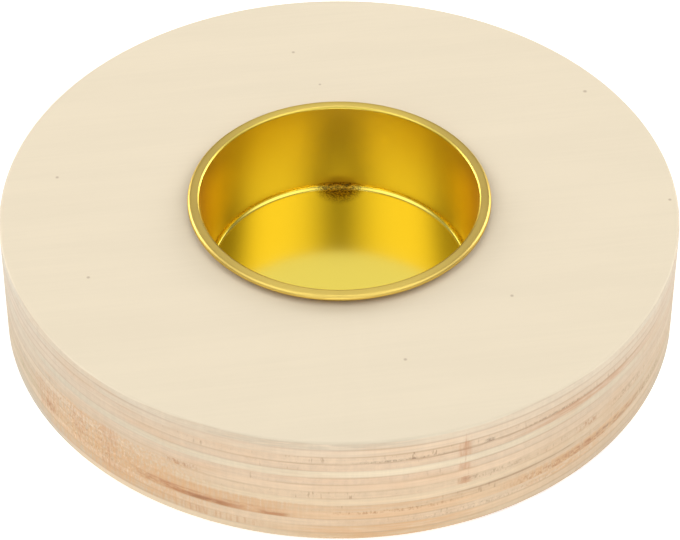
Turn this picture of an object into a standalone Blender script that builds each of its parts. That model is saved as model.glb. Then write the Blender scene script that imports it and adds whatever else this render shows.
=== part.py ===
"""Tealight holder: a round plywood disc, bored from above, with a drawn metal cup standing in the bore.

Metres, +Z up. The origin is the centre of the disc's underside. Every piece is turned about Z.
"""

import math

import bmesh
import bpy

# The board: veneers glued flat on each other, then cut round.
DISC_RADIUS = 0.0500
VENEER = 0.0013
GLUE_LINE = 0.00005
EDGE_ROUND = 0.0004

# How the grain of each veneer runs, from the top face down: L is left to right, C is front to back.
LAY_UP = "LLCCLCLCLCLCLC"

# The cup: one sheet of metal, with a flat lip that is turned down at its edge.
# Its wall leans out from the floor to the mouth, so that it came off its drawing punch.
SHEET = 0.0004
FLOOR_RADIUS = 0.0197
WALL_LEAN = 0.0009
CUP_DEPTH = 0.0152
FLOOR_CORNER = 0.0009
LIP_WIDTH = 0.00175
LIP_DROP = 0.0007
LIP_BEND = 0.0005

# Room round the cup, so that it drops in and lifts out, and under its lip, so that a nail can lift it.
SIDE_CLEARANCE = 0.0003
UNDER_LIP = 0.0010

# A shaving thinner than this doesn't stay on the floor of a bore.
THINNEST_WOOD = 0.0001

TURNED_STEPS = 72
BEND_STEPS = 4
ROUND_STEPS = 3
SHARP_ANGLE = math.radians(40)

PITCH = VENEER + GLUE_LINE
BOARD = len(LAY_UP) * PITCH - GLUE_LINE
MOUTH_RADIUS = FLOOR_RADIUS + WALL_LEAN
BORE_RADIUS = MOUTH_RADIUS + SHEET + SIDE_CLEARANCE
BORE_FLOOR = BOARD + UNDER_LIP + LIP_DROP - CUP_DEPTH - SHEET


def clear_scene():
    for obj in list(bpy.data.objects):
        bpy.data.objects.remove(obj, do_unlink=True)


def linear(channel):
    """One sRGB channel, 0 to 255, as the linear value that a shader takes."""
    share = channel / 255
    return share / 12.92 if share <= 0.04045 else ((share + 0.055) / 1.055) ** 2.4


def finish(name, colour, roughness, metallic=0.0):
    material = bpy.data.materials.new(name)
    material.use_nodes = True
    shader = material.node_tree.nodes["Principled BSDF"]
    shader.inputs["Base Color"].default_value = (*map(linear, colour), 1.0)
    shader.inputs["Roughness"].default_value = roughness
    shader.inputs["Metallic"].default_value = metallic
    return material


def fillet(before, corner, after, radius, steps):
    """The points of an arc that rounds the corner between two straight runs of a profile."""
    towards = []
    for end in (before, after):
        length = math.dist(end, corner)
        towards.append(((end[0] - corner[0]) / length, (end[1] - corner[1]) / length))
    (ax, ay), (bx, by) = towards
    half = math.acos(ax * bx + ay * by) / 2
    middle = math.hypot(ax + bx, ay + by)
    to_centre = radius / math.sin(half)
    centre = (
        corner[0] + (ax + bx) / middle * to_centre,
        corner[1] + (ay + by) / middle * to_centre,
    )
    along = radius / math.tan(half)
    start = math.atan2(corner[1] + ay * along - centre[1], corner[0] + ax * along - centre[0])
    stop = math.atan2(corner[1] + by * along - centre[1], corner[0] + bx * along - centre[0])
    sweep = (stop - start + math.pi) % (2 * math.pi) - math.pi
    return [
        (
            centre[0] + radius * math.cos(start + sweep * step / steps),
            centre[1] + radius * math.sin(start + sweep * step / steps),
        )
        for step in range(steps + 1)
    ]


def rounded(points, radii, steps):
    """A profile with the corners that radii names, by their place in points, made into arcs."""
    path = []
    for place, point in enumerate(points):
        if place in radii:
            path += fillet(points[place - 1], point, points[place + 1], radii[place], steps)
        else:
            path.append(point)
    return path


def turned(name, profile, closed, material, collection, parent, height):
    """A profile of (radius, height) points swept once round Z by a Screw modifier."""
    mesh = bpy.data.meshes.new(name)
    outline = bmesh.new()
    corners = [outline.verts.new((radius, 0.0, z)) for radius, z in profile]
    for first, second in zip(corners, corners[1:]):
        outline.edges.new((first, second))
    if closed:
        outline.edges.new((corners[-1], corners[0]))
    outline.to_mesh(mesh)
    outline.free()
    mesh.materials.append(material)

    obj = bpy.data.objects.new(name, mesh)
    collection.objects.link(obj)
    obj.parent = parent
    obj.location.z = height
    screw = obj.modifiers.new("Turn", "SCREW")
    screw.steps = screw.render_steps = TURNED_STEPS
    screw.use_merge_vertices = True
    screw.merge_threshold = 0.00001
    return obj


def make_ply(name, place, material, collection, parent):
    """One veneer, counted from the underside: a ring where the bore passes through it, or else a disc."""
    low = place * PITCH
    left = BORE_FLOOR - low
    if left < THINNEST_WOOD:
        left = 0.0
    if left > VENEER - THINNEST_WOOD:
        left = VENEER

    outer = [(DISC_RADIUS, VENEER), (DISC_RADIUS, 0.0)]
    if left == 0.0:
        profile = [(BORE_RADIUS, VENEER), *outer, (BORE_RADIUS, 0.0)]
    elif left < VENEER:
        profile = [(0.0, left), (BORE_RADIUS, left), (BORE_RADIUS, VENEER), *outer, (0.0, 0.0)]
    else:
        profile = [(0.0, VENEER), *outer, (0.0, 0.0)]

    upper_corner = profile.index(outer[0])
    sanded = {}
    if place == len(LAY_UP) - 1:
        sanded[upper_corner] = EDGE_ROUND
    if place == 0:
        sanded[upper_corner + 1] = EDGE_ROUND
    profile = rounded(profile, sanded, ROUND_STEPS)
    return turned(name, profile, left == 0.0, material, collection, parent, low)


def make_cup(material, collection, parent):
    """The sheet's middle surface, from the lip's turned-down edge to the floor, given its thickness."""
    half = SHEET / 2
    lip_edge = MOUTH_RADIUS + LIP_WIDTH - half
    lip_top = SHEET + CUP_DEPTH
    corners = [
        (lip_edge, lip_top - LIP_DROP),
        (lip_edge, lip_top - half),
        (MOUTH_RADIUS + half, lip_top - half),
        (FLOOR_RADIUS + half, half),
        (0.0, half),
    ]
    bends = {1: LIP_BEND - half, 2: LIP_BEND - half, 3: FLOOR_CORNER + half}
    profile = rounded(corners, bends, BEND_STEPS)
    cup = turned("tealight_cup", profile, False, material, collection, parent, BORE_FLOOR)
    wall = cup.modifiers.new("Sheet", "SOLIDIFY")
    wall.thickness = SHEET
    wall.offset = 0.0
    wall.use_even_offset = True
    return cup


def shade_round(objects):
    """The modifiers' result kept as each piece's mesh, smooth on its turned faces and crisp at its corners."""
    bpy.context.view_layer.update()
    graph = bpy.context.evaluated_depsgraph_get()
    shapes = [bpy.data.meshes.new_from_object(obj.evaluated_get(graph)) for obj in objects]
    for obj, shape in zip(objects, shapes):
        profile = obj.data
        obj.modifiers.clear()
        obj.data = shape
        shape.shade_smooth()
        shape.set_sharp_from_angle(angle=SHARP_ANGLE)
        bpy.data.meshes.remove(profile)
        shape.name = obj.name


def main():
    clear_scene()
    holder = bpy.data.collections.new("candle_holder")
    bpy.context.scene.collection.children.link(holder)
    disc = bpy.data.objects.new("wooden_disc", None)
    holder.objects.link(disc)

    veneers = {
        "face": finish("Face veneer", (240, 226, 200), 0.62),
        "L": finish("Side grain veneer", (240, 216, 186), 0.7),
        "C": finish("End grain veneer", (224, 197, 166), 0.78),
    }
    brass = finish("Gold lacquered metal", (226, 180, 52), 0.24, 1.0)

    count = len(LAY_UP)
    pieces = []
    for number, grain in enumerate(LAY_UP, start=1):
        if number == 1:
            name, material = "top_face_veneer", veneers["face"]
        elif number == count:
            name, material = "bottom_face_veneer", veneers["face"]
        else:
            name, material = f"core_veneer_{number:02d}", veneers[grain]
        pieces.append(make_ply(name, count - number, material, holder, disc))
    pieces.append(make_cup(brass, holder, disc))
    shade_round(pieces)
    print(len(pieces), "pieces, board", round(BOARD * 1000, 2), "mm thick")


main()
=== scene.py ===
# %% [markdown]
# # A tealight holder: a round plywood disc with a gold-coloured metal cup
#
# The real object comes apart into two things. One is a disc cut from a board of glued veneers, with
# a round bore sunk into its middle. The other is a cup drawn from one sheet of metal, which drops
# into that bore and stands on its floor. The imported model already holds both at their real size, and
# its bodies carry whatever is tied to them. This lesson leaves that model where it is and gives it
# its looks: finely turned veneers, a drawn cup, a studio and a camera.

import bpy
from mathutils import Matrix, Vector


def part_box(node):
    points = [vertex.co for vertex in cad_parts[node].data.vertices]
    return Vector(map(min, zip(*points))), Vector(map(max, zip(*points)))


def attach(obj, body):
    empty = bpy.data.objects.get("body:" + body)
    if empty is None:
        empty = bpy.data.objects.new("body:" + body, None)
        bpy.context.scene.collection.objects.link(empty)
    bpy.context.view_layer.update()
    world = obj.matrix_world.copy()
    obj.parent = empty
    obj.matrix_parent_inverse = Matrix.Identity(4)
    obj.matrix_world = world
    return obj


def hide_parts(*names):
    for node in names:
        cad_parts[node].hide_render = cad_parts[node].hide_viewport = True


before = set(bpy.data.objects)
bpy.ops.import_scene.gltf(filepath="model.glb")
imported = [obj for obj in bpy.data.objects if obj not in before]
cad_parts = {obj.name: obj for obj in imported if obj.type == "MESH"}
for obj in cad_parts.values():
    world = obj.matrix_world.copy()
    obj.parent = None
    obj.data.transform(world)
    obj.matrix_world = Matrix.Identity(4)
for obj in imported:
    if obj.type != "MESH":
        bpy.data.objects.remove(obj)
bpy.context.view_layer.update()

# %% [markdown]
# Blender brings its own modules along. `bpy` holds the scene's data, and `bmesh` edits a mesh.

# %% The modules that the cells below use
import math

import bmesh
import bpy

# %% [markdown]
# ## What the frame already knows
#
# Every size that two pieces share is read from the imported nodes, so nothing here can drift away from
# them. A node's lowest and highest corners give its thickness and its radius, because each node is
# turned about the Z axis. The bore is found in a node's own corners: they are the ones that lie well
# inside the rim and well away from the middle.

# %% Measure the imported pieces
VENEER_NODES = ["top_face_veneer"]
VENEER_NODES += [f"core_veneer_{number:02d}" for number in range(2, 14)]
VENEER_NODES += ["bottom_face_veneer"]
NEAR_THE_MIDDLE = 0.1
NEAR_THE_RIM = 0.9

board_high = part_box("top_face_veneer")[1]
board_top = board_high.z
disc_radius = board_high.x
pitch = board_top / len(VENEER_NODES)
cup_low, cup_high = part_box("tealight_cup")


def bore_in(name):
    """The radius of the bore in a veneer and the level where it ends there, or None without one."""
    corners = [vertex.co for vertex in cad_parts[name].data.vertices]
    shares = [math.hypot(co.x, co.y) / disc_radius for co in corners]
    inner = [co for co, share in zip(corners, shares) if NEAR_THE_MIDDLE < share < NEAR_THE_RIM]
    if not inner:
        return None
    return max(math.hypot(co.x, co.y) for co in inner), min(co.z for co in inner)


bore_radius = bore_in("top_face_veneer")[0]
bore_floor = min(bore[1] for bore in map(bore_in, VENEER_NODES) if bore)
print("board", round(board_top * 1000, 2), "mm, bore", round(bore_radius * 2000, 1), "mm across")

# %% [markdown]
# ## The camera
#
# A long lens looks down at the disc, so its outline is nearly a true ellipse and the front of the
# rim is only a little larger than the back. The distance and the tilt came from fitting the outline
# of the disc and the circle of the cup's lip. The camera's height is counted from the wood's face.

# %% Place the camera
LENS = 161.6
SENSOR = 36
NEAREST = 0.01
CAMERA_TILT = math.radians(48.25)
CAMERA_ASIDE = 0.0001
CAMERA_BACK = 0.3422
CAMERA_UP = 0.2923

camera_data = bpy.data.cameras.new("camera")
camera_data.lens = LENS
camera_data.sensor_width = SENSOR
camera_data.clip_start = NEAREST
camera = bpy.data.objects.new("camera", camera_data)
camera.location = (CAMERA_ASIDE, -CAMERA_BACK, board_top + CAMERA_UP)
camera.rotation_euler = (CAMERA_TILT, 0, 0)
bpy.context.scene.collection.objects.link(camera)
bpy.context.scene.camera = camera
print("camera looks down", round(90 - math.degrees(CAMERA_TILT), 1), "degrees")

# %% [markdown]
# ## Turning a piece
#
# Everything here is round about one axis. Blender could make it from cylinders and cuts, but a lathe
# is closer to how such things are described: draw half of the section once and spin it. The outline
# starts as a few vertices, `bmesh.ops.bevel` rounds the corners that a maker would round, and
# `bmesh.ops.spin` sweeps it through a full turn. Points on the axis fall together and are merged.

# %% A lathe
TURNING_STEPS = 288
CORNER_SEGMENTS = 8
MERGE = 0.000001
CRISP = math.radians(35)


def turn(name, outline, corners, closed):
    """Spin an outline of (radius, height) points; corners gives the rounding of some of them."""
    work = bmesh.new()
    points = [work.verts.new((radius, 0.0, height)) for radius, height in outline]
    pairs = list(zip(points, points[1:]))
    if closed:
        pairs.append((points[-1], points[0]))
    for pair in pairs:
        work.edges.new(pair)
    for place, width in corners.items():
        bmesh.ops.bevel(
            work, geom=[points[place]], offset=width, offset_type="OFFSET", affect="VERTICES",
            segments=CORNER_SEGMENTS, profile=0.5, material=-1,
        )
    bmesh.ops.spin(
        work, geom=work.verts[:] + work.edges[:], cent=(0, 0, 0), axis=(0, 0, 1),
        angle=math.tau, steps=TURNING_STEPS, use_merge=True,
    )
    bmesh.ops.remove_doubles(work, verts=work.verts[:], dist=MERGE)
    bmesh.ops.recalc_face_normals(work, faces=work.faces[:])
    mesh = bpy.data.meshes.new(name)
    work.to_mesh(mesh)
    work.free()
    mesh.shade_smooth()
    mesh.set_sharp_from_angle(angle=CRISP)
    piece = bpy.data.objects.new(name, mesh)
    bpy.context.scene.collection.objects.link(piece)
    return piece


print("a turned piece has", TURNING_STEPS, "steps round and", CORNER_SEGMENTS, "in each rounded corner")

# %% [markdown]
# ## Small helpers for materials
#
# A material is a tree of nodes. Written out in full, each node takes several lines, so one helper
# makes a node, gives its sockets a value or a link, and returns it. Another turns a colour as it looks
# on a screen into the linear light that shaders add up.

# %% Colours and sockets
def paint(red, green, blue):
    """A screen colour, three channels of 0 to 255, as the linear colour that a shader takes."""
    def straight(channel):
        share = channel / 255
        return share / 12.92 if share <= 0.04045 else ((share + 0.055) / 1.055) ** 2.4
    return (straight(red), straight(green), straight(blue), 1.0)


def fill(tree, socket, value):
    """Give a socket a plain value, or a link if the value is another node's output."""
    if isinstance(value, bpy.types.NodeSocket):
        tree.links.new(value, socket)
    else:
        socket.default_value = value


def node(tree, kind, sockets=None, **settings):
    """A new shader node with its settings, and its sockets filled by their place or their name."""
    made = tree.nodes.new("ShaderNode" + kind)
    for name, value in settings.items():
        setattr(made, name, value)
    for key, value in (sockets or {}).items():
        fill(tree, made.inputs[key], value)
    return made


print("screen white is", paint(255, 255, 255)[:3], "in linear light")

# %% [markdown]
# The next helpers do sums, mix colours, make a smooth step, fill space with noise and start a group.
#
# Blender's noise hovers round a half and seldom comes near 0 or 1. A material that wants its whole
# swing therefore stretches the middle of it: WIDE takes in nearly all of the noise, and NARROW leaves
# out its rarest highs and lows, which gives a stronger contrast.

# %% Sums, mixes, steps and noise
WIDE = (0.3, 0.7)
NARROW = (0.35, 0.65)


def sums(tree, operation, *values):
    return node(tree, "Math", dict(enumerate(values)), operation=operation).outputs[0]


def product(tree, *values):
    made = values[0]
    for value in values[1:]:
        made = sums(tree, "MULTIPLY", made, value)
    return made


def mixed(tree, share, first, second):
    """Two colours mixed by a share from 0 to 1. Sockets 6 and 7 are the Mix node's two colours."""
    return node(tree, "Mix", {0: share, 6: first, 7: second}, data_type="RGBA").outputs[2]


def shaded(tree, colour, level):
    """A colour made lighter or darker all over by a level near 1."""
    return node(tree, "HueSaturation", {"Color": colour, "Value": level}).outputs[0]


def ramp(tree, value, start, stop, low=0.0, high=1.0):
    """A smooth step: low up to start, high from stop, or the other way round if stop is less."""
    sockets = {0: value, 1: start, 2: stop, 3: low, 4: high}
    return node(tree, "MapRange", sockets, interpolation_type="SMOOTHSTEP").outputs[0]


def noise(tree, place, stretch, detail=2.0, rough=0.5):
    """Noise that has the given number of lumps to the metre along each axis."""
    scaled = node(tree, "VectorMath", {0: place, 1: stretch}, operation="MULTIPLY").outputs[0]
    sockets = {"Vector": scaled, "Scale": 1.0, "Detail": detail, "Roughness": rough}
    return node(tree, "TexNoise", sockets).outputs[0]


def off_axis(tree, across, back):
    """How far a point lies from the Z axis."""
    return sums(tree, "SQRT", sums(tree, "ADD", product(tree, across, across), product(tree, back, back)))


def new_group(name, inputs, outputs):
    """An empty node group with named sockets. Kinds are Float, Vector and Color."""
    group = bpy.data.node_groups.new(name, "ShaderNodeTree")
    for label, kind in inputs.items():
        group.interface.new_socket(label, in_out="INPUT", socket_type="NodeSocket" + kind)
    for label, kind in outputs.items():
        group.interface.new_socket(label, in_out="OUTPUT", socket_type="NodeSocket" + kind)
    return group, group.nodes.new("NodeGroupInput").outputs, group.nodes.new("NodeGroupOutput").inputs


print("noise is stretched from", WIDE, "or", NARROW)

# %% [markdown]
# ## Wood grain as one node group
#
# A veneer is peeled from a log as one long sheet. Along the fibres it shows long pale streaks. Where
# the disc's edge cuts across the fibres it shows their ends instead, which drink in light and look
# darker, with pores and the fine upright checks that the peeling knife opens. Both happen on one
# sheet, at different places round the edge, so the group compares the surface's own direction with
# the direction of the fibres and fades from one look to the other. All fourteen sheets use it.
#
# The patterns fill space, as grain does, so they need no unwrapping and meet at every corner. First
# the place and the direction are turned back by the sheet's own turn, so that X runs along the
# fibres, and each sheet is moved to its own part of the noise.

# %% Start the grain group
END_GRAIN_POWER = 1.6
FLAT_ENOUGH = (0.80, 0.95)

GRAIN_INPUTS = {
    "Place": "Vector", "Facing": "Vector", "Turn": "Float", "Seed": "Float", "Face": "Color",
    "Side": "Color", "End": "Color", "Checks": "Float", "Arris": "Float",
}
GRAIN_OUTPUTS = {"Color": "Color", "Roughness": "Float", "Height": "Float"}

grain_group, given, out = new_group("veneer_grain", GRAIN_INPUTS, GRAIN_OUTPUTS)
tree = grain_group
back_turn = product(tree, given["Turn"], -1.0)
along, facing = [
    node(tree, "VectorRotate", {"Vector": given[key], "Angle": back_turn}, rotation_type="Z_AXIS").outputs[0]
    for key in ("Place", "Facing")
]
shift = node(tree, "CombineXYZ", {0: given["Seed"], 1: given["Seed"], 2: 0.0}).outputs[0]
sheet = node(tree, "VectorMath", {0: along, 1: shift}, operation="ADD").outputs[0]
facing_along, _, facing_up = node(tree, "SeparateXYZ", {0: facing}).outputs
end_on = sums(tree, "POWER", sums(tree, "ABSOLUTE", facing_along), END_GRAIN_POWER)
flat_on = ramp(tree, sums(tree, "ABSOLUTE", facing_up), *FLAT_ENOUGH)
print("veneer_grain takes", len(GRAIN_INPUTS), "values")

# %% [markdown]
# The long grain has two scales: fine fibres, and wider bands where one year's growth meets the next.
# On the face both are very faint. On the edge they draw thin lines that run level along the sheet.
# Each noise is named by its lumps to the metre along the fibres, across them and through the sheet.

# %% Long grain
FIBRE_LUMPS = (60, 1900, 1900)
GROWTH_LUMPS = (9, 260, 500)
FLAME_LUMPS = (35, 160, 160)
SIDE_LEVELS = (1.035, 0.955)
FACE_LEVELS = (1.012, 0.985)
SIDE_FIBRES = 0.55
FACE_FIBRES = 0.35

fibres = noise(tree, sheet, FIBRE_LUMPS, detail=3.0, rough=0.6)
growth = noise(tree, sheet, GROWTH_LUMPS)
flame = noise(tree, sheet, FLAME_LUMPS)
lines = sums(tree, "ADD", product(tree, fibres, SIDE_FIBRES), product(tree, growth, 1 - SIDE_FIBRES))
side_tone = shaded(tree, given["Side"], ramp(tree, lines, *NARROW, *SIDE_LEVELS))
face_lines = sums(tree, "ADD", product(tree, fibres, FACE_FIBRES), product(tree, flame, 1 - FACE_FIBRES))
face_tone = shaded(tree, given["Face"], ramp(tree, face_lines, *NARROW, *FACE_LEVELS))
print("fibres are about", round(1000 / FIBRE_LUMPS[1], 1), "mm apart")

# %% [markdown]
# Cut ends show three things: a mottled ground, tiny pores, and checks, which are thin upright cracks.
# Checks come in crowds, so a slow noise says where they are thick and where there are none.

# %% End grain
MOTTLE_LUMPS = (400, 900, 700)
PORE_LUMPS = (900, 3600, 2600)
CHECK_LUMPS = (260, 2000, 420)
CROWD_LUMPS = (60, 90, 300)
END_LEVELS = (1.03, 0.95)
PORE_RANGE = (0.62, 0.74)
CHECK_RANGE = (0.60, 0.72)
CROWD_RANGE = (0.42, 0.62)
PORE_SHARE = 0.5

mottle = noise(tree, sheet, MOTTLE_LUMPS, detail=3.0, rough=0.6)
end_tone = shaded(tree, given["End"], ramp(tree, mottle, *WIDE, *END_LEVELS))
pores = ramp(tree, noise(tree, sheet, PORE_LUMPS, detail=2.0, rough=0.6), *PORE_RANGE)
cracks = ramp(tree, noise(tree, sheet, CHECK_LUMPS, detail=2.0, rough=0.6), *CHECK_RANGE)
crowded = ramp(tree, noise(tree, sheet, CROWD_LUMPS, detail=1.0), *CROWD_RANGE)
holes = sums(tree, "MAXIMUM", product(tree, pores, PORE_SHARE), product(tree, cracks, crowded))
holes = product(tree, holes, end_on, given["Checks"])
print("checks are about", round(1000 / CHECK_LUMPS[1], 1), "mm wide")

# %% [markdown]
# A sheet of birch has a few pin knots, dark dots no wider than a grain of sand. A Voronoi pattern
# scatters one point in each cell, and only the cells whose own random colour is high enough keep it.

# %% Pin knots on the face
KNOT_CELLS = (95, 95, 0)
KEPT_CELLS = (0.84, 0.86)
KNOT_RIM = 0.035
KNOT_HEART = 0.012

flat_place = node(tree, "VectorMath", {0: sheet, 1: KNOT_CELLS}, operation="MULTIPLY").outputs[0]
cells = node(tree, "TexVoronoi", {"Vector": flat_place, "Scale": 1.0}).outputs
chosen = ramp(tree, node(tree, "SeparateColor", {0: cells["Color"]}).outputs[0], *KEPT_CELLS)
knots = product(tree, ramp(tree, cells["Distance"], KNOT_RIM, KNOT_HEART), chosen, flat_on)
print("a pin knot is", round(2000 * KNOT_RIM / KNOT_CELLS[0], 1), "mm across")

# %% [markdown]
# The saw went round the whole board at once, so its faint upright lines run over all the sheets, and
# so do slow clouds of a warmer tone. Level streaks follow the sheets. Between two sheets lies a dark
# line of glue, now thick and now thin. All of these read the plain place, without the sheet's own
# shift, and the glue lines come from how far a point is through the thickness of its sheet.

# %% Saw lines, streaks, clouds and glue lines
SAW_LUMPS = (1700, 1700, 150)
STREAK_LUMPS = (55, 55, 3300)
CLOUD_LUMPS = (75, 75, 300)
GLUE_LUMPS = (38, 38, 420)
WARM_RANGE = (0.45, 0.75)
MOST_WARM = 0.30
GLUE_BORDER = (0.30, 0.5)
GLUE_SHARES = (0.05, 0.40)

place = given["Place"]
saw_lines = noise(tree, place, SAW_LUMPS, detail=3.0, rough=0.65)
streaks = noise(tree, place, STREAK_LUMPS, detail=3.0, rough=0.7)
warm = ramp(tree, noise(tree, place, CLOUD_LUMPS, detail=3.0, rough=0.6), *WARM_RANGE, 0.0, MOST_WARM)
across, back, height = node(tree, "SeparateXYZ", {0: place}).outputs
through = sums(tree, "FRACT", sums(tree, "DIVIDE", height, pitch))
off_centre = sums(tree, "ABSOLUTE", sums(tree, "SUBTRACT", through, 0.5))
thickness = ramp(tree, noise(tree, place, GLUE_LUMPS, detail=2.0, rough=0.6), *NARROW, *GLUE_SHARES)
glue = product(tree, ramp(tree, off_centre, *GLUE_BORDER), thickness)
print("glue lines lie", round(pitch * 1000, 2), "mm apart")

# %% [markdown]
# The bore was cut with a spinning bit, which rubs its wall a little brown and leaves fine rings on its
# floor. The rings come from a noise that only reads how far a point is from the axis. They belong to
# the bore alone: not to the edge outside it, the face above it or the sheets below its floor.

# %% The cutter's traces in the bore
RING_LUMPS = (2200, 1, 1)
BROWN_SHARES = (0.25, 0.50)
BORE_MARGIN = 0.0001
FACE_FADE = 0.0005
DIMPLE_ROOM = 0.0006
FLOOR_FADE = 0.0003

from_axis = off_axis(tree, across, back)
on_axis_line = node(tree, "CombineXYZ", {0: from_axis, 1: 0.0, 2: 0.0}).outputs[0]
rings = noise(tree, on_axis_line, RING_LUMPS, detail=1.0)
bored = product(
    tree,
    ramp(tree, from_axis, bore_radius + 2 * BORE_MARGIN, bore_radius + BORE_MARGIN),
    ramp(tree, height, board_top - BORE_MARGIN, board_top - BORE_MARGIN - FACE_FADE),
    ramp(tree, height, bore_floor - DIMPLE_ROOM - FLOOR_FADE, bore_floor - DIMPLE_ROOM),
)
browned = product(tree, bored, ramp(tree, rings, *WIDE, *BROWN_SHARES))
print("the cutter's rings are", round(1000 / RING_LUMPS[0], 2), "mm apart")

# %% [markdown]
# The face is sanded and the edge is only sawn, so the face's clean tone stops at the arris, where
# the sander's hand wandered: the border wavers a little.

# %% The wavering border of the face
WANDER_LUMPS = (45, 45, 45)
WANDER = (-0.35, 0.35)
BORDER_RANGE = (0.35, 0.8)

wander = noise(tree, place, WANDER_LUMPS, detail=2.0, rough=0.6)
border = sums(tree, "ADD", sums(tree, "ABSOLUTE", facing_up), ramp(tree, wander, *WIDE, *WANDER))
face_share = product(tree, ramp(tree, border, *BORDER_RANGE), given["Arris"])
print("the face's tone wavers over", round(1000 / WANDER_LUMPS[0]), "mm")

# %% [markdown]
# The group then puts the tones together, from the ground up: the grain, the warm clouds, the saw's
# lines and the streaks, the glue, the clean face and last the small dark things. Holes, knots and the
# cutter's rings are sunk, and fibres stand a little proud.

# %% Close the grain group
SAW_LEVELS = (0.983, 1.017)
STREAK_LEVELS = (1.04, 0.955)
WOOD_ROUGHNESS = (0.52, 0.66)
WARM_TONE = paint(214, 170, 126)
GLUE_TONE = paint(180, 146, 114)
HOLE_TONE = paint(150, 112, 84)
KNOT_TONE = paint(150, 118, 90)
BROWNED_TONE = paint(176, 136, 100)
HOLE_STRENGTH = 0.7
KNOT_STRENGTH = 0.6
FIBRE_HEIGHT = 0.5

colour = mixed(tree, end_on, side_tone, end_tone)
colour = mixed(tree, warm, colour, WARM_TONE)
colour = shaded(tree, colour, ramp(tree, saw_lines, *WIDE, *SAW_LEVELS))
colour = shaded(tree, colour, ramp(tree, streaks, *WIDE, *STREAK_LEVELS))
colour = mixed(tree, glue, colour, GLUE_TONE)
colour = mixed(tree, sums(tree, "MAXIMUM", flat_on, face_share), colour, face_tone)
colour = mixed(tree, product(tree, holes, HOLE_STRENGTH), colour, HOLE_TONE)
colour = mixed(tree, product(tree, knots, KNOT_STRENGTH), colour, KNOT_TONE)
colour = mixed(tree, browned, colour, BROWNED_TONE)
sunk = sums(tree, "ADD", sums(tree, "ADD", holes, knots), product(tree, bored, rings))
fill(tree, out["Color"], colour)
fill(tree, out["Roughness"], ramp(tree, fibres, *WIDE, *WOOD_ROUGHNESS))
fill(tree, out["Height"], sums(tree, "SUBTRACT", product(tree, fibres, FIBRE_HEIGHT), sunk))
print("veneer_grain has", len(tree.nodes), "nodes")

# %% [markdown]
# ## Marks across the edge as a second group
#
# The edge has a history. The saw scorched some fibres, which stand upright across several veneers,
# and minerals in the living tree left brown and grey patches that stay inside one veneer. Both are a
# patch with ragged, fibrous borders, between two bearings round the disc and two levels. The group
# turns the place until the patch's middle lies on +X and then measures the angle away from it.
# The same group also lays painted shade over the right side of the rim and a painted shadow along its bottom
# edge.

# %% Build the mark group
MARK_SOFTNESS = 0.00018
TORN = (-0.1, 0.2)

MARK_INPUTS = {
    "Place": "Vector", "Bearing": "Float", "Reach": "Float", "Core": "Float", "Low": "Float",
    "High": "Float", "Fibres": "Vector", "Cover": "Float",
}

mark_group, given, out = new_group("edge_mark", MARK_INPUTS, {"Mask": "Float"})
tree = mark_group
back_turn = product(tree, given["Bearing"], -1.0)
turned = node(tree, "VectorRotate", {"Vector": given["Place"], "Angle": back_turn}, rotation_type="Z_AXIS")
ahead, aside, level = node(tree, "SeparateXYZ", {0: turned.outputs[0]}).outputs
angle = sums(tree, "ARCTAN2", aside, ahead)
unrolled = node(
    tree, "CombineXYZ", {0: product(tree, angle, disc_radius), 1: given["Bearing"], 2: level}
).outputs[0]
ragged = noise(tree, unrolled, given["Fibres"], detail=3.0, rough=0.65)
sideways = ramp(tree, sums(tree, "ABSOLUTE", angle), given["Reach"], given["Core"])
above_low = ramp(tree, sums(tree, "SUBTRACT", level, given["Low"]), -MARK_SOFTNESS, MARK_SOFTNESS)
under_high = ramp(tree, sums(tree, "SUBTRACT", given["High"], level), -MARK_SOFTNESS, MARK_SOFTNESS)
inside = product(tree, sideways, above_low, under_high)
threshold = sums(tree, "SUBTRACT", 1.0, given["Cover"])
torn = ramp(tree, sums(tree, "SUBTRACT", ragged, threshold), *TORN)
fill(tree, out["Mask"], product(tree, torn, inside))
print("edge_mark has", len(tree.nodes), "nodes")

# %% [markdown]
# ## Where the marks are
#
# Each stain, and each painted shade, has a colour and a strength, and each kind of fibre gives its lumps
# to the metre along the rim, between one mark and the next, and upwards.

# %% List the stains
STAINS_AND_SHADE = {
    # Rust marks real rust, and one rust row also paints the shadow along the bottom edge.
    "rust_and_edge_shadow": (paint(172, 112, 70), 0.65),
    "red": (paint(192, 138, 100), 0.50),
    "amber": (paint(214, 166, 116), 0.50),
    "blush": (paint(216, 174, 130), 0.40),
    "scorch": (paint(138, 102, 74), 0.50),
    "ink": (paint(112, 84, 64), 0.55),
    "slate": (paint(180, 168, 148), 0.40),
    # Shade is painted shade, not a stain: it darkens a whole side of the rim.
    "shade": (paint(184, 158, 128), 0.15),
    "pale": (paint(238, 218, 186), 0.55),
}
UPRIGHT = (2600, 5, 300)
LEVEL = (200, 5, 3200)
DOTTED = (2600, 5, 1500)
SMUDGE = (650, 5, 1900)
print(len(STAINS_AND_SHADE), "stains:", ", ".join(STAINS_AND_SHADE))
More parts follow.
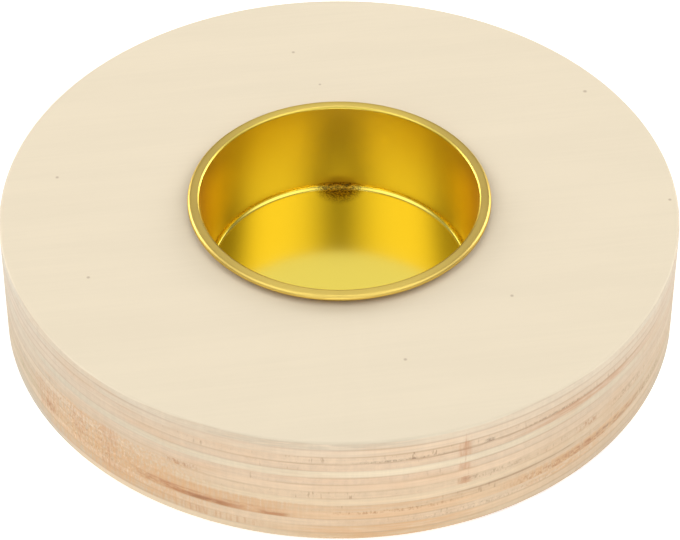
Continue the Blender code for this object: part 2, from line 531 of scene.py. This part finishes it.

# %% [markdown]
# Each row is one mark: its stain, its first and last bearing in degrees, where +X is 0 and the front
# is 270, its first and last level counted in veneers down from the face, how its fibres run, and how
# much of the patch it covers. They were read off the rim, so that the disc's front looks as the real
# one does.

# %% List the marks
MARKS = [
    ("slate", 238, 292, 0.1, 1.0, LEVEL, 0.60), ("scorch", 252, 345, 2.88, 3.14, LEVEL, 0.56),
    ("ink", 270, 289, 2.70, 3.00, DOTTED, 0.50), ("ink", 293.2, 295.6, 2.5, 3.0, DOTTED, 0.58),
    ("ink", 299, 318, 2.72, 3.02, DOTTED, 0.52), ("red", 294, 336, 2.9, 4.0, LEVEL, 0.56),
    ("red", 288.8, 291.6, 0.8, 8.2, UPRIGHT, 0.42), ("red", 288.8, 291.6, 2.0, 4.0, UPRIGHT, 0.66),
    ("red", 288.8, 291.6, 5.0, 6.0, UPRIGHT, 0.66), ("red", 288.6, 291.8, 7.0, 8.0, UPRIGHT, 0.70),
    ("rust_and_edge_shadow", 240, 248, 6.2, 6.9, DOTTED, 0.52), ("scorch", 287, 303, 7.2, 7.7, DOTTED, 0.50),
    ("rust_and_edge_shadow", 311, 318, 7.1, 8.0, DOTTED, 0.52), ("scorch", 318, 334, 7.1, 8.0, DOTTED, 0.50),
    ("amber", 204, 258, 8.0, 13.2, UPRIGHT, 0.52), ("amber", 210, 252, 6.6, 12.6, DOTTED, 0.55),
    ("red", 226.8, 232.4, 6.4, 12.4, UPRIGHT, 0.52), ("red", 220, 225, 6.8, 11.4, UPRIGHT, 0.48),
    ("red", 208, 218, 7.6, 11.8, UPRIGHT, 0.50), ("rust_and_edge_shadow", 204, 240, 7.2, 12.0, DOTTED, 0.40),
    ("pale", 206, 248, 6.8, 11.8, DOTTED, 0.42), ("rust_and_edge_shadow", 211, 216, 10.0, 11.4, DOTTED, 0.52),
    ("amber", 232, 270, 8.8, 11.0, UPRIGHT, 0.60), ("red", 230, 266, 9.9, 11.0, SMUDGE, 0.62),
    ("rust_and_edge_shadow", 233, 248, 10.0, 10.9, SMUDGE, 0.52), ("rust_and_edge_shadow", 241, 256, 10.35, 10.95, SMUDGE, 0.72),
    ("scorch", 243, 253, 10.5, 10.9, SMUDGE, 0.56), ("rust_and_edge_shadow", 256, 263, 10.5, 10.98, SMUDGE, 0.70),
    ("blush", 258, 300, 9.0, 11.0, LEVEL, 0.60), ("rust_and_edge_shadow", 264, 294, 9.85, 10.3, DOTTED, 0.46),
    ("red", 236, 262, 12.0, 13.0, UPRIGHT, 0.48), ("amber", 292, 334, 9.7, 11.0, UPRIGHT, 0.62),
    ("rust_and_edge_shadow", 303, 336, 10.0, 11.0, SMUDGE, 0.50), ("rust_and_edge_shadow", 294, 324, 10.1, 11.0, DOTTED, 0.52),
    ("scorch", 314, 330, 10.1, 10.9, SMUDGE, 0.50), ("pale", 210, 264, 13.1, 14.0, LEVEL, 0.90),
    ("ink", 309, 331, 10.1, 10.9, DOTTED, 0.40), ("scorch", 326, 341, 10.1, 10.95, DOTTED, 0.52),
    ("scorch", 270, 326, 11.4, 12.0, DOTTED, 0.44), ("amber", 296, 326, 11.0, 12.0, SMUDGE, 0.55),
    # The rust row from level 13.8 down is painted shadow: a dark line along the bottom edge at the front
    # right, where the disc meets the floor.
    ("amber", 258, 298, 12.0, 14.0, LEVEL, 0.55), ("rust_and_edge_shadow", 280, 334, 13.8, 14.1, LEVEL, 0.60),
    # The shade row is painted shade over the right side of the rim, from the front round to +X, below the
    # top two veneers.
    ("scorch", 282, 322, 8.95, 9.2, LEVEL, 0.60), ("shade", 296, 362, 2.0, 14.0, LEVEL, 1.2),
]
print(len(MARKS), "marks")

# %% [markdown]
# ## The sheets of the board
#
# The board is fourteen veneers. Read from the top face down, the fibres of some run left to right
# and of others front to back, and three pairs of neighbours run the same way. No two sheets have the
# same paleness, so each row gives the sheet's fibres, the tone of its long grain, the tone of its cut
# ends, and how many pores and checks those ends show. The saw went round, so the rim shows both.

# %% Tones of the sheets
LEFT_RIGHT = math.radians(9)
FRONT_BACK = math.radians(96)
FACE = paint(231, 217, 191)
SHEETS = [
    (LEFT_RIGHT, paint(229, 210, 183), paint(203, 192, 172), 0.2),
    (LEFT_RIGHT, paint(227, 205, 177), paint(200, 187, 166), 0.3),
    (FRONT_BACK, paint(200, 186, 166), paint(223, 198, 168), 0.8),
    (FRONT_BACK, paint(198, 184, 163), paint(223, 197, 167), 0.4),
    (LEFT_RIGHT, paint(227, 210, 181), paint(198, 185, 163), 0.2),
    (FRONT_BACK, paint(196, 183, 161), paint(222, 197, 168), 0.5),
    (LEFT_RIGHT, paint(230, 203, 171), paint(195, 178, 154), 0.3),
    (FRONT_BACK, paint(200, 184, 160), paint(221, 195, 163), 0.7),
    (LEFT_RIGHT, paint(227, 204, 171), paint(192, 175, 150), 0.3),
    (FRONT_BACK, paint(193, 175, 149), paint(217, 190, 157), 0.6),
    (LEFT_RIGHT, paint(226, 196, 160), paint(190, 173, 144), 0.4),
    (FRONT_BACK, paint(200, 182, 155), paint(223, 198, 167), 0.5),
    (LEFT_RIGHT, paint(224, 196, 161), paint(191, 176, 152), 0.3),
    (LEFT_RIGHT, paint(219, 195, 161), paint(190, 179, 162), 0.3),
]
print(len(SHEETS), "sheets,", round(pitch * 1000, 2), "mm apart")

# %% [markdown]
# Over its grain a sheet gets each mark whose levels reach into it. The top sheet also gets the few
# dark specks that its face has: each row is a speck's place in millimetres from the axis and its size.
# Both have their full strength over the inner three tenths, and fade from there to their borders.

# %% Marks and specks laid over the grain
FACE_SPECKS = [
    (-7.2, 36.4, 1.0), (37.8, 26.6, 1.2), (48.8, 0.9, 1.0), (24.6, -20.2, 1.0),
    (9.2, -33.4, 1.0), (-42.0, 6.0, 1.0), (-36.0, -16.3, 1.0), (-3.0, 28.3, 0.8),
]
SPECK_SIZE = 0.00035
SPECK_STRENGTH = 0.42
FULL_SHARE = 0.3


def marks_over(tree, place, colour, number):
    for mark_kind, first, last, top, bottom, fibres, cover in MARKS:
        if top >= number or bottom <= number - 1:
            continue
        tone, strength = STAINS_AND_SHADE[mark_kind]
        reach = math.radians(last - first) / 2
        sockets = {
            "Place": place, "Bearing": math.radians(first + last) / 2, "Reach": reach,
            "Core": FULL_SHARE * reach, "Low": board_top - bottom * pitch,
            "High": board_top - top * pitch, "Fibres": fibres, "Cover": cover,
        }
        mask = node(tree, "Group", sockets, node_tree=mark_group).outputs[0]
        colour = mixed(tree, product(tree, mask, strength), colour, tone)
    return colour


def specks_over(tree, place, colour):
    for x, y, size in FACE_SPECKS:
        spot = (x / 1000, y / 1000, board_top)
        rim = size * SPECK_SIZE
        away = node(tree, "VectorMath", {0: place, 1: spot}, operation="DISTANCE").outputs[1]
        dot = ramp(tree, away, rim, FULL_SHARE * rim, 0.0, SPECK_STRENGTH)
        colour = mixed(tree, dot, colour, STAINS_AND_SHADE["scorch"][0])
    return colour


print(len(FACE_SPECKS), "specks on the face")

# %% [markdown]
# One function makes a sheet's material: it places the grain group, lays the marks over it, and ends
# in a plain Principled shader. The seed moves each sheet to its own stretch of the grain.

# %% The material of one sheet
SEED_STEP = 0.37
GRAIN_DEPTH = 0.00005
GRAIN_STRENGTH = 0.35
WOOD_GLOSS = 0.25


def veneer_material(number):
    fibres_turn, side, end, checks = SHEETS[number - 1]
    material = bpy.data.materials.new(f"veneer_{number:02d}")
    material.use_nodes = True
    tree = material.node_tree
    shader = tree.nodes["Principled BSDF"]
    where = node(tree, "TexCoord").outputs
    place = where["Object"]
    sockets = {
        "Place": place, "Facing": where["Normal"], "Turn": fibres_turn, "Seed": number * SEED_STEP,
        "Face": FACE, "Side": side, "End": end, "Checks": checks, "Arris": 1.0 if number == 1 else 0.0,
    }
    wood = node(tree, "Group", sockets, node_tree=grain_group).outputs
    colour = marks_over(tree, place, wood["Color"], number)
    if number == 1:
        colour = specks_over(tree, place, colour)
    relief = {"Height": wood["Height"], "Strength": GRAIN_STRENGTH, "Distance": GRAIN_DEPTH}
    fill(tree, shader.inputs["Base Color"], colour)
    fill(tree, shader.inputs["Roughness"], wood["Roughness"])
    fill(tree, shader.inputs["Normal"], node(tree, "Bump", relief).outputs[0])
    shader.inputs["Specular IOR Level"].default_value = WOOD_GLOSS
    return material


# %% [markdown]
# ## Turning the fourteen sheets
#
# Each sheet is one turned section. Where the bore passes right through, the section is a closed ring.
# The bore stops inside one sheet, whose section therefore steps down to a pocket, with the small
# dimple that a cutter's point leaves in the middle. The sheets below it are whole discs. The saw left
# sharp corners everywhere except at the two outer arrises, which were broken with sandpaper.
#
# The film of glue between two sheets is thinner than a hair, so each sheet is carried up to the next
# one and no slit of light shows between them.

# %% The section of one sheet
EDGE_ROUND = 0.0004
DIMPLE_RADIUS = 0.0012
DIMPLE_DEPTH = 0.0005


def sheet_section(low, top, bore):
    """What shape a sheet has, and the outline that is spun into it."""
    rim = [(disc_radius, top), (disc_radius, low)]
    if bore is None:
        return "disc", [(0.0, top), *rim, (0.0, low)]
    radius, level = bore
    if level < low + MERGE:
        return "ring", [(radius, top), *rim, (radius, low)]
    dimple = [(0.0, level - DIMPLE_DEPTH), (DIMPLE_RADIUS, level)]
    return "pocket", [*dimple, (radius, level), (radius, top), *rim, (0.0, low)]


# %% [markdown]
# Each sheet rides on the disc's body and stands in for one packed veneer. The arris is the outer
# corner of the outline, and only the first and the last sheet have theirs rounded.

# %% Turn the sheets
for number, name in enumerate(VENEER_NODES, start=1):
    low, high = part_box(name)
    top = high.z if number == 1 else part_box(VENEER_NODES[number - 2])[0].z
    shape, outline = sheet_section(low.z, top, bore_in(name))
    arris = outline.index((disc_radius, top))
    broken = {}
    if number == 1:
        broken[arris] = EDGE_ROUND
    if number == len(VENEER_NODES):
        broken[arris + 1] = EDGE_ROUND
    piece = turn(f"sheet_{number:02d}", outline, broken, shape == "ring")
    piece.data.materials.append(veneer_material(number))
    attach(piece, "disc")
    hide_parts(name)
    print(piece.name, shape, len(piece.data.polygons), "faces")

# %% [markdown]
# ## The cup
#
# The real cup starts as a flat disc of thin brass-coloured sheet. A punch draws it down into a pot
# whose wall leans out a little, so that it comes off the punch, and the edge is then turned out into
# a lip and rolled down. One open line through the middle of the sheet describes all of that, and a
# Solidify modifier gives it the thickness of the metal.
#
# Two small things make it look like pressed metal. The wall isn't quite straight: it springs in by a
# fifth of a millimetre at half its height. And the lip isn't flat: from its edge it rises to a soft
# crest, dips to a very shallow groove and ends at a fine bead, where it turns down into the mouth.

# %% Sizes of the cup
SHEET_METAL = 0.0004
WALL_LEAN = 0.0009
WALL_BOW = 0.0002
WALL_BEND = 0.0055
FLOOR_CORNER = 0.0009
LIP_WIDTH = 0.00175
LIP_DROP = 0.0007
LIP_BEND = 0.0005

half = SHEET_METAL / 2
lip_edge = cup_high.x - half
lip_level = cup_high.z - half
mouth = cup_high.x - LIP_WIDTH
floor_radius = mouth - WALL_LEAN
floor_level = cup_low.z + half
print("cup", round(2 * mouth * 1000, 1), "mm across its mouth,", round(2 * floor_radius * 1000, 1), "below")

# %% [markdown]
# The crest, the groove and the bead are given by how far they lie outside the mouth. A bevel on each
# of the outline's points rounds it, and the widths leave room for each other along the line.

# %% Draw the cup
LIP_CREST = 0.0009
LIP_GROOVE = 0.00052
LIP_BEAD = 0.0004
LIP_CROWN = 0.00007
LIP_DIP = 0.000015
MOUTH_DROP = 0.00012
CREST_BEND = 0.00028
FINE_BEND = 0.00005
MOUTH_BEND = 0.0001

outline = [
    (lip_edge, cup_high.z - LIP_DROP),
    (lip_edge, lip_level - LIP_CROWN),
    (mouth + LIP_CREST, lip_level),
    (mouth + LIP_GROOVE, lip_level - LIP_DIP),
    (mouth + LIP_BEAD, lip_level - LIP_DIP / 2),
    (mouth + half, lip_level - MOUTH_DROP),
    (mouth + half - WALL_LEAN / 2 - WALL_BOW, (lip_level + floor_level) / 2),
    (floor_radius + half, floor_level),
    (0.0, floor_level),
]
bends = {
    7: FLOOR_CORNER + half, 6: WALL_BEND, 5: MOUTH_BEND, 4: FINE_BEND, 3: FINE_BEND, 2: CREST_BEND,
    1: LIP_BEND - half,
}
cup = turn("drawn_cup", outline, bends, False)
metal_sheet = cup.modifiers.new("Sheet", "SOLIDIFY")
metal_sheet.thickness = SHEET_METAL
metal_sheet.offset = 0.0
metal_sheet.use_even_offset = True
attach(cup, "cup")
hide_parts("tealight_cup")
print(cup.name, len(cup.data.polygons), "faces before it gets its thickness")

# %% [markdown]
# ## The gold-coloured metal
#
# A thin gold lacquer lies over bright sheet metal. Each time light bounces inside the cup it passes
# the lacquer again, so the colour deepens from straw on the lip to deep gold in the well. The
# Principled shader does this by itself, if the base colour is the pale one of a single bounce.
#
# The floor was pressed against the polished end of the punch and is the brightest. Drawing left fine
# upright scratches on the wall, and hands have dulled the lip. So the first step tells the floor, the
# wall and the lip apart by their places, and gives each its roughness.

# %% Start the metal
FLOOR_ROUGHNESS = 0.14
WALL_ROUGHNESS = 0.33
LIP_ROUGHNESS = 0.42
BRUSHED = (-0.006, 0.006)
SCRATCH_LUMPS = (2600, 2600, 160)
GOLD_AT_A_GLANCE = (0.95, 0.80, 0.45, 1.0)
FLOOR_ENDS = 0.0005
WALL_BEGINS = 0.0015
WALL_ENDS = 0.0001
LIP_BEGINS = 0.0003

metal = bpy.data.materials.new("gold_metal")
metal.use_nodes = True
tree = metal.node_tree
shader = tree.nodes["Principled BSDF"]
shader.inputs["Metallic"].default_value = 1.0
shader.inputs["Specular Tint"].default_value = GOLD_AT_A_GLANCE
place = node(tree, "TexCoord").outputs["Object"]
x, y, z = node(tree, "SeparateXYZ", {0: place}).outputs
radius = off_axis(tree, x, y)
on_wall = ramp(tree, z, cup_low.z + FLOOR_ENDS, cup_low.z + WALL_BEGINS)
on_lip = ramp(tree, radius, mouth + WALL_ENDS, mouth + LIP_BEGINS)
scratches = noise(tree, place, SCRATCH_LUMPS, detail=3.0, rough=0.6)
dull = sums(tree, "ADD", FLOOR_ROUGHNESS, product(tree, on_wall, WALL_ROUGHNESS - FLOOR_ROUGHNESS))
dull = sums(tree, "ADD", dull, product(tree, on_lip, LIP_ROUGHNESS - WALL_ROUGHNESS))
dull = sums(tree, "ADD", dull, ramp(tree, scratches, *WIDE, *BRUSHED))
fill(tree, shader.inputs["Roughness"], dull)
cup.data.materials.append(metal)
print("roughness of floor, wall and lip", FLOOR_ROUGHNESS, WALL_ROUGHNESS, LIP_ROUGHNESS)

# %% [markdown]
# The lip is painted a darker gold at its left and right sides, which is painted shade. In the corner
# between wall and floor, at the back, opposite the camera, the metal is painted dark brown, which is a
# painted dark reflection, with the metal's own dark grains in it. The patch is round and ends at the
# foot of the wall, so its share falls with the distance from its middle.

# %% Colour the metal
GOLD = (0.80, 0.64, 0.11, 1.0)
LIP_GOLD = (0.88, 0.66, 0.16, 1.0)
SHADED_LIP_GOLD = (0.66, 0.48, 0.13, 1.0)
DARK_REFLECTION_GOLD = (0.36, 0.19, 0.01, 1.0)
BURNT_GOLD = (0.09, 0.06, 0.01, 1.0)
LIP_SIDES = (0.008, 0.020)
SWELL_RANGE = (0.25, 0.75)
SIDE_SHADE_SHARES = (0.8, 1.0)
PATCH_REACH = 0.0044
PATCH_CORE = 0.0014
PATCH_TOP = 0.0016
PATCH_TOP_CORE = 0.0011
DARK_REFLECTION_STRENGTH = 0.9
PIT_RANGE = (0.46, 0.56)
PIT_STRENGTH = 0.85
SWELL_LUMPS = (140, 140, 90)
GRAIN_LUMPS = (3600, 3600, 3600)

swell = noise(tree, place, SWELL_LUMPS, detail=1.0)
grains = noise(tree, place, GRAIN_LUMPS, detail=1.0)
# Painted shade: the left and right sides of the lip get a darker gold.
at_the_sides = ramp(tree, sums(tree, "ABSOLUTE", x), *LIP_SIDES)
lip_side_shade = product(tree, at_the_sides, ramp(tree, swell, *SWELL_RANGE, *SIDE_SHADE_SHARES))
# Painted dark reflection: a brown patch at the back of the corner, opposite the camera. The dark grains in
# it are the metal's own.
patch_middle = (0.0, floor_radius, floor_level)
from_middle = node(tree, "VectorMath", {0: place, 1: patch_middle}, operation="DISTANCE").outputs[1]
below_wall = ramp(tree, z, cup_low.z + PATCH_TOP, cup_low.z + PATCH_TOP_CORE)
dark_reflection_and_pits = product(tree, below_wall, ramp(tree, from_middle, PATCH_REACH, PATCH_CORE))
pitted = product(tree, dark_reflection_and_pits, ramp(tree, grains, *PIT_RANGE, 0.0, PIT_STRENGTH))
colour = mixed(tree, on_lip, GOLD, mixed(tree, lip_side_shade, LIP_GOLD, SHADED_LIP_GOLD))
colour = mixed(tree, product(tree, dark_reflection_and_pits, DARK_REFLECTION_STRENGTH), colour, DARK_REFLECTION_GOLD)
colour = mixed(tree, pitted, colour, BURNT_GOLD)
fill(tree, shader.inputs["Base Color"], colour)
print("the stain reaches", round(PATCH_REACH * 1000, 1), "mm from the corner")

# %% [markdown]
# The scratches, the slow swell of the sheet and the pits in the painted dark patch are bumps, one fed
# into the next. They are far smaller than the sheet is thick. The pits' noise has its mean taken off, so
# that the whole patch isn't raised.

# %% Bumps in the metal
SCRATCH_DEPTH = 0.0000008
SWELL_DEPTH = 0.00001
PIT_DEPTH = 0.00014

pits = product(tree, sums(tree, "SUBTRACT", grains, 0.5), dark_reflection_and_pits)
bump = None
for height, depth in ((scratches, SCRATCH_DEPTH), (swell, SWELL_DEPTH), (pits, PIT_DEPTH)):
    sockets = {"Height": height, "Strength": 1.0, "Distance": depth}
    if bump:
        sockets["Normal"] = bump.outputs[0]
    bump = node(tree, "Bump", sockets)
fill(tree, shader.inputs["Normal"], bump.outputs[0])
print("gold_metal has", len(tree.nodes), "nodes")

# %% [markdown]
# ## The studio
#
# The disc stands on white paper that is bright enough to hide its own shadow.

# %% Lay the floor
FLOOR_SIZE = 4
FLOOR_DROP = 0.0001
FLOOR_GLOW = 0.4
PAPER = (0.9, 0.9, 0.9, 1.0)
PAPER_ROUGHNESS = 0.9

bpy.ops.mesh.primitive_plane_add(size=FLOOR_SIZE, location=(0, 0, -FLOOR_DROP))
floor = bpy.context.object
floor.name = "studio_floor"
paper = bpy.data.materials.new("white_paper")
paper.use_nodes = True
shader = paper.node_tree.nodes["Principled BSDF"]
shader.inputs["Base Color"].default_value = PAPER
shader.inputs["Roughness"].default_value = PAPER_ROUGHNESS
shader.inputs["Emission Color"].default_value = (1, 1, 1, 1)
shader.inputs["Emission Strength"].default_value = FLOOR_GLOW
floor.data.materials.append(paper)
print("paper", FLOOR_SIZE, "m across")

# %% [markdown]
# The light is that of a small photographer's tent. Polished metal shows each lamp as a patch, so the
# lamps are drawn as soft round patches in the world, and the list says what each one does for the
# picture. Each row gives the lamp's azimuth and elevation in degrees, the angle out to its border,
# and its strength. The last row takes light away, where the camera itself stands in the tent.

# %% Hang the soft lights
AMBIENT = 0.09
SOFT_LIGHTS = {
    "overhead": (90, 80, 14, 3.6),
    "box left of the camera": (217, 48, 37, 1.7),
    "box right of the camera": (324, 49, 37, 1.7),
    "fill from the left": (165, 48, 27, 0.45),
    "fill from the right": (10, 48, 27, 0.3),
    "behind, which the lip shows": (90, 42, 24, 0.95),
    "low behind on the left": (145, 15, 25, 5.9),
    "low behind on the right": (36, 16, 24, 5.9),
    "low in front, for the edge": (270, 13, 24, 2.1),
    "the dark camera": (270, 54, 30, -0.12),
}


def towards(azimuth, elevation):
    """The direction of a place in the sky, both angles in degrees, azimuth 0 at +X and 90 at +Y."""
    flat = math.cos(math.radians(elevation))
    side, depth = math.cos(math.radians(azimuth)), math.sin(math.radians(azimuth))
    return (flat * side, flat * depth, math.sin(math.radians(elevation)))


world = bpy.data.worlds.new("studio")
world.use_nodes = True
bpy.context.scene.world = world
tree = world.node_tree
sky = node(tree, "TexCoord").outputs["Generated"]
light = AMBIENT
for azimuth, elevation, reach, strength in SOFT_LIGHTS.values():
    sockets = {0: sky, 1: towards(azimuth, elevation)}
    near = node(tree, "VectorMath", sockets, operation="DOT_PRODUCT").outputs[1]
    patch = ramp(tree, near, math.cos(math.radians(reach)), 1.0, 0.0, strength)
    light = sums(tree, "ADD", light, patch)
fill(tree, tree.nodes["Background"].inputs["Strength"], sums(tree, "MAXIMUM", light, 0.0))
tree.nodes["Background"].inputs["Color"].default_value = (1, 1, 1, 1)
print(len(SOFT_LIGHTS), "soft lights:", ", ".join(SOFT_LIGHTS))

# %% [markdown]
# Light that goes round inside the cup bounces many times before it comes out, and each bounce makes
# it more golden. With too few bounces allowed, the well would go dark. The Standard view keeps the
# colours as they were painted.

# %% Set the view and the bounces
BOUNCES = 16
GLOSSY_BOUNCES = 12

scene = bpy.context.scene
scene.view_settings.view_transform = "Standard"
scene.cycles.max_bounces = BOUNCES
scene.cycles.glossy_bounces = GLOSSY_BOUNCES
print("up to", GLOSSY_BOUNCES, "bounces inside the cup")
